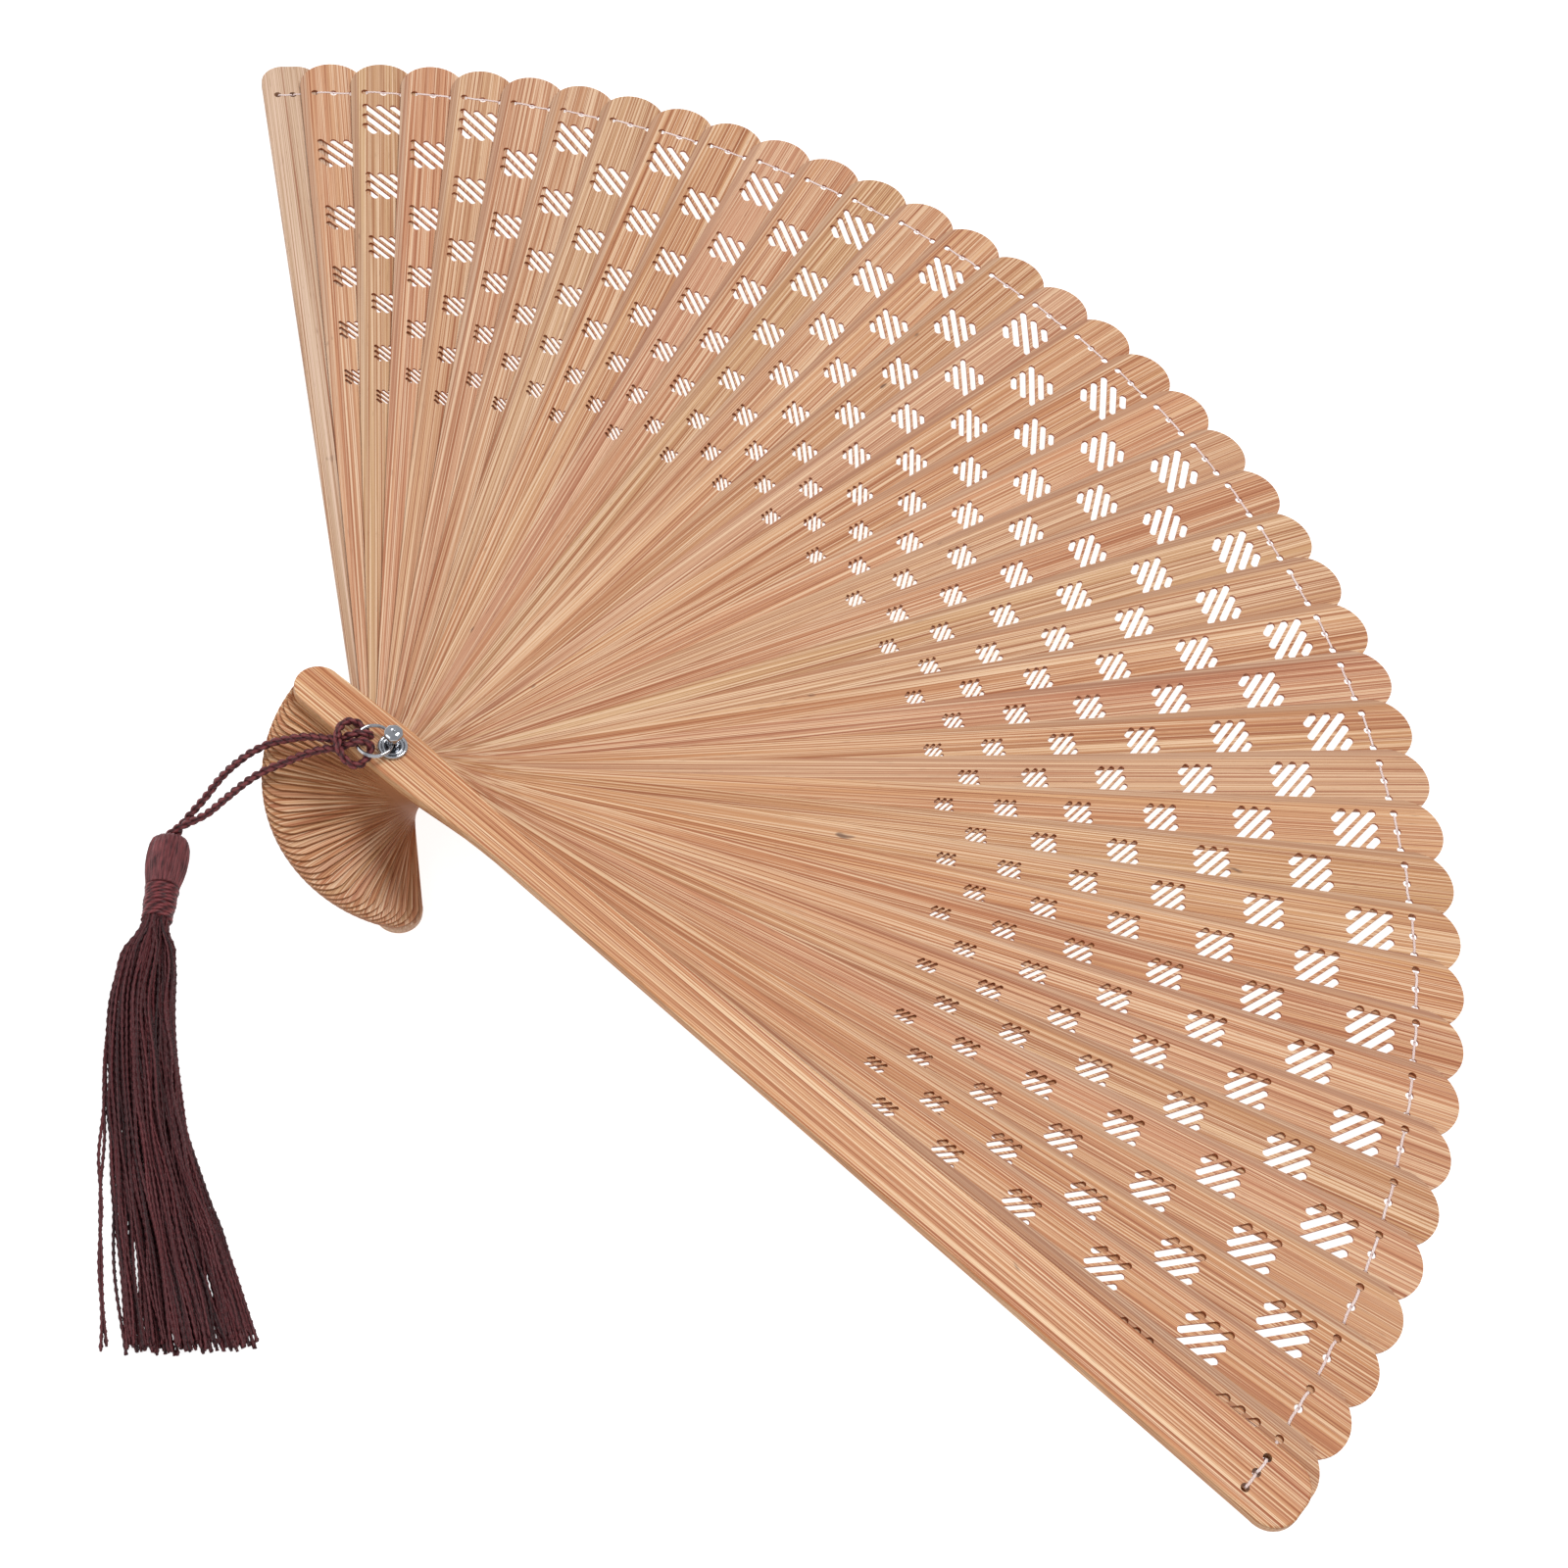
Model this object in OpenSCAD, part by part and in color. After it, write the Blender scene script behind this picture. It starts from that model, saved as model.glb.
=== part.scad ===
// Folding hand fan of pierced wooden sticks, lying open on its rear guard.
// The origin is on the rivet's axis, level with the rear guard's underside.
// +Z runs up the rivet through the stack, and +Y runs along the middle of the open spread.

/* [Fan] */
// Angle between the two guards when the fan is open
spread = 141; // [100:1:150]
// Distance from the rivet's axis to the guards' tips
guard_reach = 182.4; // [178:0.2:190]
// Distance from the rivet's axis to the rounded tail ends
tail_reach = 20.8; // [18:0.2:23]
// How far the sticks crowd towards the guards, in degrees
gather = 1.4; // [0:0.1:2]

/* [Sticks] */
// Thickness of one pierced stick
stick_t = 0.42; // [0.36:0.01:0.5]
// Free space between neighbouring sticks
stick_gap = 0.09; // [0.08:0.01:0.12]
// Half the width of a stick at its rounded tip
tip_half = 6.6; // [6.2:0.1:7.2]
// Half the width of a stick or guard at its narrow waist
waist_half = 3.1; // [2.6:0.1:3.6]
// Half the width of a stick or guard beside the rivet
root_half = 4.6; // [4.2:0.1:5]

/* [Guards] */
// Thickness of each guard
guard_t = 2; // [1.6:0.1:3]
// Half the width of a guard near its tip
guard_half = 5.9; // [5.2:0.1:6.6]

/* [Pierced work] */
// Distance from the rivet's axis to the innermost group of slots
motif_start = 92.9; // [90:0.1:96]
// First half step from one ring of slot groups to the next
motif_step = 4.9; // [4.7:0.05:5]
// How much each half step is longer than the one before
motif_growth = 0.49; // [0.4:0.01:0.5]
// Side of the innermost square group of slots
motif_side = 3.3; // [2.8:0.1:3.6]
// Growth of a group's side per millimetre further out
motif_taper = 0.068; // [0.06:0.001:0.072]
// Distance from the rivet's axis to the thread holes
thread_reach = 174; // [172:0.5:175]
// Diameter of a thread hole
thread_hole = 1.4; // [1:0.05:1.6]

/* [Rivet and ring] */
// Diameter of the rivet's shank
shank_d = 2; // [1.6:0.1:2.4]
// Radial clearance of the sticks on the shank
running_fit = 0.05; // [0.03:0.01:0.08]
// Diameter of the rivet's round head
head_d = 2.8; // [2.6:0.1:3.4]
// Diameter of the ring, along the middle of its wire
ring_d = 5.9; // [5.6:0.1:6.4]
// Diameter of the ring's wire
ring_wire = 0.7; // [0.6:0.05:0.8]

/* [Tassel] */
// Diameter of the twisted cord
cord_d = 1.4; // [1.2:0.1:1.5]
// Direction in which the cord leaves the rivet, in degrees from +X
cord_angle = 245; // [240:1:255]
// Diameter of the tassel's rounded head
tassel_head_d = 6.8; // [6:0.1:7.2]
// Diameter of the binding below the head
binding_d = 5.4; // [4.8:0.1:5.8]
// Length of the loose skirt
skirt_len = 73; // [50:1:90]
// Width of the skirt at its loose end
skirt_w = 20; // [14:1:24]

/* [Hidden] */
$fn = 64;
stick_n = 40;

// Angles of the guards and of the sticks between them
rear_angle = 90 + spread / 2;
front_angle = 90 - spread / 2;
first_gap = 2.9;
last_gap = 1.5;
stick_step = (spread - first_gap - last_gap) / (stick_n - 1);

// Levels in the stack, counted up from the rear guard's underside
stick_pitch = stick_t + stick_gap;
front_z = guard_t + stick_n * stick_pitch + stick_gap;
top_z = front_z + guard_t;

// The root flares smoothly from the waist over this length
waist_reach = 26;
flare_steps = 8;
tail_r = 4;
guard_corner_r = 4.6;
// Straight edges end this far inside the rounded ends they run into
tuck = 0.03;

// One square group holds five parallel slots
slot_n = 5;
slot_share = 0.16;
slot_pitch_share = 0.236;
slot_inset_share = 0.2;
slot_end_swell = 1.04;
motifs_short = 5;
motifs_long = 6;
thread_pitch = 3.75;
guard_thread_pitch = 3;
thread_w = 0.4;
thread_t = 0.07;
through = 1;

// Rivet heights above the front guard's face
eye_rise = 1.9;
eye_r = 0.6;
head_rise = 3.6;
head_h = 1.2;
// Lathe profiles hold shares of a piece's radius and of its length
HEAD_PROFILE = [[0.85, 0], [1, 0.15], [1, 0.6], [0.75, 0.9], [0.4, 1]];
foot_d = 4;
foot_h = 0.8;
ring_r = ring_d / 2;
ring_z = top_z + eye_rise;
eyelet_lift = 0.03;
eyelet_r = 2.45;
eyelet_t = 0.35;
eyelet_rim = 0.3;
collar_r = 1.55;

// The tassel lies beside the cord's end, along the local Y axis
tassel_x = 35.2;
tassel_y = 4.4;
tassel_z = 3.6;
// The head and the binding lean this many degrees away from the rivet
tassel_lean = 7;
head_len = 9.6;
TASSEL_HEAD_PROFILE = [[0.5, 0], [0.8, 0.1], [0.95, 0.25], [1, 0.45], [0.95, 0.7], [0.8, 1]];
binding_len = 6.6;
binding_wraps = 9;
skirt_root_r = 2.4;
skirt_root_len = 0.5;
// Each section of the skirt: share of its length, sideways shift, share of its width, height
SKIRT_SECTIONS = [[0.27, 2.2, 0.54, 5], [0.58, -1.4, 0.66, 4], [1, -7.2, 1, 3]];
skirt_section_len = 1;

// The cord's route: local X runs away from the rivet, Y across it, Z is the true height.
// Each half starts at the middle of the knot's bight, passes through the ring and runs out
// over the tails to the tassel.
UPPER_ROUTE = [
    [8.9, 0, 26.9], [8.5, -2.2, 26.7], [7.2, -3.9, 26], [5.7, -4.1, 25.4], [4.6, -3.2, 25.2],
    [3.8, -1.9, 25.5], [3.6, -1, 26.4], [4.5, -0.8, 27.3], [5.9, -0.8, 27.4],
    [7.2, -0.8, 26.5], [8.6, -0.8, 25.5], [10.7, -1.6, 24.6], [13.6, -2.8, 23.2],
    [17.1, -3.2, 21.6], [19.8, -3.2, 20.2], [23.3, -2.6, 17.6], [26.9, -1.6, 13.4],
    [29.9, 0.2, 9.2], [32.1, 1.4, 6.3], [33.8, 2.8, 4.4], [34.5, 4.4, 3.6]
];
LOWER_ROUTE = [
    [8.9, 0, 26.9], [8.5, 2.2, 26.7], [7.2, 3.9, 26], [5.7, 4.1, 25.4], [4.6, 3.2, 25.2],
    [3.8, 1.9, 25.5], [3.6, 1, 26.4], [4.5, 0.8, 27.3], [5.9, 0.8, 27.4],
    [7.2, 0.8, 26.5], [8.6, 0.8, 25.5], [10.7, 0.4, 24.5], [13.6, 0.2, 22.8],
    [17.1, 0.4, 20.4], [20.5, 0.9, 18.4], [23.4, 1.6, 16], [26.6, 2.3, 12.2],
    [29.5, 3, 8.8], [32.5, 3.2, 6.2], [34.7, 3.5, 4.6], [36, 4.4, 3.6]
];
ring_gap = 1.8;
tube_sides = 8;

function two(k) = k < 10 ? str("0", k) : str(k);
function stick_name(k) = str("stick_", two(k));
function stick_angle(k) =
    rear_angle - first_gap - (k - 1) * stick_step + gather * sin(360 * k / (stick_n + 1));
function stick_z(k) = guard_t + stick_gap + (k - 1) * stick_pitch;
function motif_reach(j) = motif_start + j * motif_step + motif_growth * j * j / 2;
function side_at(r) = motif_side + motif_taper * (r - motif_start);

// Half width between the rivet and the waist, eased at both ends
function flare(r) = waist_half + (root_half - waist_half) * (1 + cos(180 * r / waist_reach)) / 2;

// A smooth curve through a route's points, as positions between them
function curve_at(a, b, c, d, t) =
    0.5 * (2 * b + (c - a) * t + (2 * a - 5 * b + 4 * c - d) * t * t
        + (3 * b - a - 3 * c + d) * t * t * t);
function pick(p, i) = p[min(max(i, 0), len(p) - 1)];
function smooth(p) = [
    for (i = [0:len(p) - 2])
        let (parts = max(1, ceil(norm(p[i + 1] - p[i]) / ring_gap)))
            for (j = [0:parts - 1])
                curve_at(pick(p, i - 1), p[i], p[i + 1], pick(p, i + 2), j / parts),
    p[len(p) - 1]
];
function unit(v) = v / norm(v);
function tangent(p, i) = unit(pick(p, i + 1) - pick(p, i - 1));
// The first direction across the tube is carried from ring to ring without twist
function level(v, t) = unit(v - (v * t) * t);
function across(p, i) = i == 0 ? level([0, 0, 1], tangent(p, 0)) : level(across(p, i - 1), tangent(p, i));

module tube(route, d) {
    p = smooth(route);
    rings = [
        for (i = [0:len(p) - 1])
            let (t = tangent(p, i), x = across(p, i), y = cross(t, x))
                for (s = [0:tube_sides - 1])
                    p[i] + d / 2 * (cos(360 * s / tube_sides) * x + sin(360 * s / tube_sides) * y)
    ];
    last = (len(p) - 1) * tube_sides;
    polyhedron(
        points = rings,
        faces = concat(
            [[for (s = [0:tube_sides - 1]) s]],
            [for (i = [0:len(p) - 2], s = [0:tube_sides - 1])
                let (a = i * tube_sides + s, b = i * tube_sides + (s + 1) % tube_sides)
                    [a, a + tube_sides, b + tube_sides, b]],
            [[for (s = [tube_sides - 1:-1:0]) last + s]]
        )
    );
}

// Outline shared by sticks and guards, from the round tail to the start of the tip
module blade_outline(tip_x, tip_w) {
    right = [for (i = [0:flare_steps]) let (r = waist_reach * i / flare_steps) [r, -flare(r)]];
    left = [for (i = [flare_steps:-1:0]) [right[i][0], -right[i][1]]];
    tail_x = tail_r - tail_reach;
    tail_w = tail_r - tuck;
    polygon(concat(
        [[tail_x, -tail_w]], right, [[tip_x, tuck - tip_w], [tip_x, tip_w - tuck]], left,
        [[tail_x, tail_w]]
    ));
    translate([tail_x, 0]) circle(r = tail_r);
}

module pivot_hole() {
    circle(d = shank_d + 2 * running_fit);
}

module thread_holes(pitch) {
    for (i = [-1:1]) translate([thread_reach, i * pitch]) circle(d = thread_hole);
}

module slot(length, width) {
    square([length, width], center = true);
    for (side = [-1, 1]) translate([side * length / 2, 0]) circle(d = width * slot_end_swell);
}

// Five diagonal slots that fill a square, longest in the middle
module motif(side) {
    middle = (slot_n - 1) / 2;
    rotate(45)
        for (i = [-middle:middle])
            translate([0, i * side * slot_pitch_share])
                slot(side * (sqrt(2) - 2 * slot_pitch_share * abs(i) - slot_inset_share),
                     side * slot_share);
}

// Even sticks carry six groups and odd ones five, set half a step apart
module motifs(k) {
    count = k % 2 == 0 ? motifs_long : motifs_short;
    for (i = [0:count - 1]) {
        r = motif_reach(2 * i + (k % 2));
        translate([r, 0]) motif(side_at(r));
    }
}

module stick(k) {
    tip_x = guard_reach - tip_half;
    color("burlywood") translate([0, 0, stick_z(k)]) rotate([0, 0, stick_angle(k)])
        linear_extrude(stick_t) difference() {
            union() {
                blade_outline(tip_x, tip_half);
                translate([tip_x, 0]) circle(r = tip_half);
            }
            pivot_hole();
            thread_holes(thread_pitch);
            motifs(k);
        }
}

module guard_outline() {
    corner_x = guard_reach - guard_corner_r;
    blade_outline(corner_x, guard_half);
    for (side = [-1, 1])
        translate([corner_x, side * (guard_half - guard_corner_r)]) circle(r = guard_corner_r);
    translate([corner_x, guard_corner_r - guard_half])
        square([guard_corner_r - tuck, 2 * (guard_half - guard_corner_r)]);
}

module guard_plate() {
    linear_extrude(guard_t) difference() {
        guard_outline();
        pivot_hole();
        thread_holes(guard_thread_pitch);
    }
}

// The foot of the rivet sits flush in a counterbore under the rear guard
module rear_guard() {
    color("wheat") difference() {
        rotate([0, 0, rear_angle]) guard_plate();
        translate([0, 0, -through])
            cylinder(d = foot_d + 2 * running_fit, h = foot_h + running_fit + through);
    }
}

module front_guard() {
    color("peru") translate([0, 0, front_z]) rotate([0, 0, front_angle]) guard_plate();
}

// Half of a turned piece's outline, standing on the axis
module lathe_profile(profile, r, h) {
    polygon(concat([[0, 0]], [for (p = profile) [p[0] * r, p[1] * h]], [[0, h]]));
}

module rivet_shank() {
    color("silver") difference() {
        translate([0, 0, foot_h]) cylinder(d = shank_d, h = top_z + head_rise - foot_h);
        translate([0, 0, ring_z]) rotate([90, 0, cord_angle])
            cylinder(r = eye_r, h = shank_d + 2 * through, center = true);
    }
}

module rivet_head() {
    color("silver") translate([0, 0, top_z + head_rise])
        rotate_extrude() lathe_profile(HEAD_PROFILE, head_d / 2, head_h);
}

module rivet_foot() {
    color("silver") cylinder(d = foot_d, h = foot_h);
}

// A flat washer with a raised rim and a smaller raised collar round the neck
module front_eyelet() {
    bore_r = shank_d / 2 + running_fit;
    color("silver") translate([0, 0, top_z + eyelet_lift]) rotate_extrude() {
        translate([bore_r, 0]) square([eyelet_r - bore_r, eyelet_t]);
        translate([eyelet_r - eyelet_rim, eyelet_t]) circle(r = eyelet_rim);
        translate([collar_r, eyelet_t]) circle(r = eyelet_rim);
    }
}

// Carries its children to the rivet's axis, with X along the cord's direction
module along_cord() {
    rotate([0, 0, cord_angle]) children();
}

module tassel_ring() {
    color("silver") along_cord() translate([ring_r, 0, ring_z])
        rotate_extrude() translate([ring_r, 0]) circle(d = ring_wire);
}

module cord_upper_half() {
    color([0.3, 0.1, 0.13]) along_cord() tube(UPPER_ROUTE, cord_d);
}

module cord_lower_half() {
    color([0.3, 0.1, 0.13]) along_cord() tube(LOWER_ROUTE, cord_d);
}

// Carries its children to a point of the tassel's leaning axis, with Z along that axis
module along_tassel(from_top) {
    along_cord() translate([tassel_x, tassel_y, tassel_z])
        rotate([0, 0, -tassel_lean]) translate([0, from_top, 0]) rotate([-90, 0, 0]) children();
}

module tassel_head() {
    color([0.35, 0.12, 0.15]) along_tassel(0)
        rotate_extrude() lathe_profile(TASSEL_HEAD_PROFILE, tassel_head_d / 2, head_len);
}

module tassel_binding() {
    r = binding_d / 2;
    wrap = binding_len / binding_wraps;
    color([0.3, 0.1, 0.13]) along_tassel(head_len) rotate_extrude() {
        square([r - wrap / 2, binding_len]);
        for (i = [0:binding_wraps - 1])
            translate([r - wrap / 2, (i + 0.5) * wrap]) circle(d = wrap);
    }
}

// Closed outer shape of the loose threads, curving and spreading flat towards their ends
module tassel_skirt() {
    color([0.3, 0.09, 0.12]) {
        hull() {
            along_tassel(head_len + binding_len) cylinder(r = skirt_root_r, h = skirt_root_len);
            skirt_place(SKIRT_SECTIONS[0]);
        }
        for (i = [1:len(SKIRT_SECTIONS) - 1])
            hull() {
                skirt_place(SKIRT_SECTIONS[i - 1]);
                skirt_place(SKIRT_SECTIONS[i]);
            }
    }
}

// One section of the skirt, placed from the lower end of the binding
module skirt_place(section) {
    root = head_len + binding_len;
    along_cord()
        translate([tassel_x + root * sin(tassel_lean), tassel_y + root * cos(tassel_lean), 0])
            translate([section[1], skirt_len * section[0] - skirt_section_len, 0])
                skirt_section(skirt_w * section[2], section[3]);
}

module skirt_section(width, height) {
    r = height / 2;
    for (side = [-1, 1])
        translate([side * (width / 2 - r), 0, r]) rotate([-90, 0, 0])
            cylinder(r = r, h = skirt_section_len);
}

// A flat stitch on a guard's face, with a tail turned down into each hole
module guard_thread(guard_z, angle) {
    stitch = 2 * guard_thread_pitch + thread_w;
    translate([0, 0, guard_z + guard_t]) rotate([0, 0, angle]) translate([thread_reach, 0, 0]) {
        translate([-thread_w / 2, -stitch / 2, 0]) cube([thread_w, stitch, thread_t]);
        for (i = [-1:1])
            translate([0, i * guard_thread_pitch, -guard_t / 2]) cylinder(d = thread_w, h = guard_t / 2);
    }
}

module rear_guard_thread() {
    color("mistyrose") guard_thread(0, rear_angle);
}

module front_guard_thread() {
    color("mistyrose") guard_thread(front_z, front_angle);
}

rear_guard();
for (k = [1:stick_n])
    stick(k);
front_guard();
rivet_shank();
rivet_head();
rivet_foot();
front_eyelet();
tassel_ring();
cord_upper_half();
cord_lower_half();
tassel_head();
tassel_binding();
tassel_skirt();
rear_guard_thread();
front_guard_thread();
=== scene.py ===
"""Looks of the folding hand fan: bamboo sticks and guards, chrome rivet and ring, cord and tassel."""
import math
import random

import bmesh
import bpy
import numpy as np
from mathutils import Matrix, Vector


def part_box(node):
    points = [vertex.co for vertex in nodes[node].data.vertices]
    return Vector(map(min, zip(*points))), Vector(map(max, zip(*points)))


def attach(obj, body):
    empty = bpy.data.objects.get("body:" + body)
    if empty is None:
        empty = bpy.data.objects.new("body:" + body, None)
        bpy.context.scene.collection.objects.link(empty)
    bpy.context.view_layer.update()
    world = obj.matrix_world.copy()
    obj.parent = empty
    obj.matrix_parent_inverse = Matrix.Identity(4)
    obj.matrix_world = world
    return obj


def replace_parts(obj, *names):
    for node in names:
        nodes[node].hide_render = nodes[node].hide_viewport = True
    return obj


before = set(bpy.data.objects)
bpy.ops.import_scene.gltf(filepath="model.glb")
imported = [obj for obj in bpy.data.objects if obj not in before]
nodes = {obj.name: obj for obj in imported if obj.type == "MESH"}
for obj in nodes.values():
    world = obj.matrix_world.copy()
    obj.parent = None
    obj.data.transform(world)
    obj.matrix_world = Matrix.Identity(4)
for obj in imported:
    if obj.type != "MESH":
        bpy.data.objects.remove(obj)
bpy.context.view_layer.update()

MM = 0.001
TAU = 2 * math.pi
rng = random.Random(41)

# ---------------------------------------------------------------- facts shared with the CAD source
STICKS = 40
SPREAD = 141.0
FIRST_GAP, LAST_GAP, GATHER = 2.9, 1.5, 1.4
CORD_ANGLE = math.radians(245)
CORD_D, CORD_LAY = 1.4, 3.3
# Where each ply's middle runs and how thick it is, as shares of the cord's diameter
PLY_OFFSET, PLY_RADIUS = 0.22, 0.29
WAIST_HALF, TIP_HALF, WAIST_REACH, TIP_CENTRE = 3.1, 6.6, 26.0, 175.8
THREAD_REACH, THREAD_PITCH, GUARD_THREAD_PITCH = 174.0, 3.75, 3.0
TASSEL_X, TASSEL_Y, TASSEL_Z = 35.2, 4.4, 3.6
TASSEL_LEAN = math.radians(7)
HEAD_LEN, HEAD_R = 9.6, 3.4
BIND_LEN, BIND_R = 6.6, 2.7
SKIRT_LEN, THREAD_R = 73.0, 0.34
RING_R = 2.95
UPPER_ROUTE = [
    (8.9, 0, 26.9), (8.5, -2.2, 26.7), (7.2, -3.9, 26), (5.7, -4.1, 25.4), (4.6, -3.2, 25.2),
    (3.8, -1.9, 25.5), (3.6, -1, 26.4), (4.5, -0.8, 27.3), (5.9, -0.8, 27.4),
    (7.2, -0.8, 26.5), (8.6, -0.8, 25.5), (10.7, -1.6, 24.6), (13.6, -2.8, 23.2),
    (17.1, -3.2, 21.6), (19.8, -3.2, 20.2), (23.3, -2.6, 17.6), (26.9, -1.6, 13.4),
    (29.9, 0.2, 9.2), (32.1, 1.4, 6.3), (33.8, 2.8, 4.4), (34.5, 4.4, 3.6)]
LOWER_ROUTE = [
    (8.9, 0, 26.9), (8.5, 2.2, 26.7), (7.2, 3.9, 26), (5.7, 4.1, 25.4), (4.6, 3.2, 25.2),
    (3.8, 1.9, 25.5), (3.6, 1, 26.4), (4.5, 0.8, 27.3), (5.9, 0.8, 27.4),
    (7.2, 0.8, 26.5), (8.6, 0.8, 25.5), (10.7, 0.4, 24.5), (13.6, 0.2, 22.8),
    (17.1, 0.4, 20.4), (20.5, 0.9, 18.4), (23.4, 1.6, 16), (26.6, 2.3, 12.2),
    (29.5, 3, 8.8), (32.5, 3.2, 6.2), (34.7, 3.5, 4.6), (36, 4.4, 3.6)]


def stick_angle(k):
    step = (SPREAD - FIRST_GAP - LAST_GAP) / (STICKS - 1)
    crowd = GATHER * math.sin(TAU * k / (STICKS + 1))
    return math.radians(90 + SPREAD / 2 - FIRST_GAP - (k - 1) * step + crowd)


REAR_ANGLE = math.radians(90 + SPREAD / 2)
FRONT_ANGLE = math.radians(90 - SPREAD / 2)


# ---------------------------------------------------------------- camera at the photograph's angle
def make_camera():
    forward = Vector((-0.4013, 0.3954, -0.8262)).normalized()
    level_right = forward.cross(Vector((0, 0, 1))).normalized()
    level_up = level_right.cross(forward)
    roll = math.radians(16.87)
    up = math.cos(roll) * level_up - math.sin(roll) * level_right
    right = forward.cross(up)
    data = bpy.data.cameras.new("camera")
    data.lens = 59.52
    data.sensor_width = 36
    data.clip_start = 0.01
    data.clip_end = 10
    cam = bpy.data.objects.new("camera", data)
    turn = Matrix((right, up, -forward)).transposed().to_4x4()
    cam.matrix_world = Matrix.Translation((0.20393, -0.11374, 0.37712)) @ turn
    bpy.context.scene.collection.objects.link(cam)
    bpy.context.scene.camera = cam
    return right, up, -forward


cam_right, cam_up, cam_back = make_camera()


# ---------------------------------------------------------------- geometry helpers
def turned(points, angle, origin=(0, 0, 0)):
    """Points in mm in a frame turned about Z, as metres in the row frame."""
    p = np.asarray(points, float)
    c, s = math.cos(angle), math.sin(angle)
    out = np.stack([c * p[:, 0] - s * p[:, 1], s * p[:, 0] + c * p[:, 1], p[:, 2]], 1)
    return (out + np.asarray(origin, float)) * MM


def smooth_path(points, gap):
    """The same curve through the route's points that the CAD source sweeps, sampled evenly."""
    p = np.asarray(points, float)
    q = np.vstack([p[:1], p, p[-1:]])
    out = []
    for i in range(len(p) - 1):
        a, b, c, d = q[i], q[i + 1], q[i + 2], q[i + 3]
        for t in np.linspace(0, 1, 24, endpoint=False):
            out.append(0.5 * (2 * b + (c - a) * t + (2 * a - 5 * b + 4 * c - d) * t * t
                              + (3 * b - a - 3 * c + d) * t ** 3))
    out = np.array(out + [p[-1]])
    along = np.concatenate([[0], np.cumsum(np.linalg.norm(np.diff(out, axis=0), axis=1))])
    n = max(2, int(round(along[-1] / gap)) + 1)
    even = np.linspace(0, along[-1], n)
    return np.stack([np.interp(even, along, out[:, i]) for i in range(3)], 1)


def frames(path):
    """Tangents and two directions across, carried along the path without twist."""
    t = np.gradient(path, axis=0)
    t /= np.linalg.norm(t, axis=1)[:, None]
    start = np.array([0, 0, 1.0]) if abs(t[0][2]) < 0.9 else np.array([1.0, 0, 0])
    n = np.empty_like(t)
    v = start
    for i in range(len(t)):
        v = v - v.dot(t[i]) * t[i]
        v /= np.linalg.norm(v)
        n[i] = v
    return t, n, np.cross(t, n)


class Soup:
    """Collects swept strands into one mesh with UVs in mm along and turns around."""

    def __init__(self):
        self.verts, self.faces, self.uvs, self.shade, self.count = [], [], [], [], 0

    def strand(self, path, radii, twist=0.0, lobes=0.0, phase=0.0, sides=6, shade=0.5, flat=1.0):
        """Sweeps a round or two-lobed section; twist is in turns per mm and path is in mm."""
        path = np.asarray(path, float)
        t, n, b = frames(path)
        along = np.concatenate([[0], np.cumsum(np.linalg.norm(np.diff(path, axis=0), axis=1))])
        a = TAU * np.arange(sides) / sides
        r = np.broadcast_to(radii, (len(path),))[:, None] * (1 - lobes + lobes * np.cos(2 * a))[None]
        turn = TAU * twist * along[:, None] + phase + a[None]
        x, y = r * np.cos(turn), r * np.sin(turn)
        rings = path[:, None] + x[..., None] * n[:, None] * flat + y[..., None] * b[:, None]
        start, m = self.count, len(path)
        self.verts.append(rings.reshape(-1, 3))
        for i in range(m - 1):
            for s in range(sides):
                u = start + i * sides + s
                v = start + i * sides + (s + 1) % sides
                self.faces.append((u, v, v + sides, u + sides))
                u0, u1 = s / sides, (s + 1) / sides
                self.uvs += [(u0, along[i]), (u1, along[i]), (u1, along[i + 1]), (u0, along[i + 1])]
        for ring, order in ((0, -1), (m - 1, 1)):
            cap = [start + ring * sides + s for s in range(sides)][::order]
            self.faces.append(tuple(cap))
            self.uvs += [(0.5, along[ring])] * sides
        self.shade += [shade] * (m * sides)
        self.count += m * sides

    def make(self, name, smooth=True):
        mesh = bpy.data.meshes.new(name)
        mesh.from_pydata(np.vstack(self.verts) * MM, [], self.faces)
        layer = mesh.uv_layers.new(name="UVMap")
        layer.data.foreach_set("uv", np.array(self.uvs, np.float32).ravel())
        tone = mesh.attributes.new("tone", "FLOAT", "POINT")
        tone.data.foreach_set("value", np.array(self.shade, np.float32))
        mesh.polygons.foreach_set("use_smooth", [smooth] * len(mesh.polygons))
        mesh.update()
        obj = bpy.data.objects.new(name, mesh)
        bpy.context.scene.collection.objects.link(obj)
        return obj


def cord_frame(points):
    """Points in mm in the cord's own frame, in mm in the row frame."""
    return turned(points, CORD_ANGLE) / MM


# ---------------------------------------------------------------- materials
def srgb(r, g, b):
    def linear(c):
        c /= 255
        return c / 12.92 if c <= 0.04045 else ((c + 0.055) / 1.055) ** 2.4
    return (linear(r), linear(g), linear(b), 1)


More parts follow.
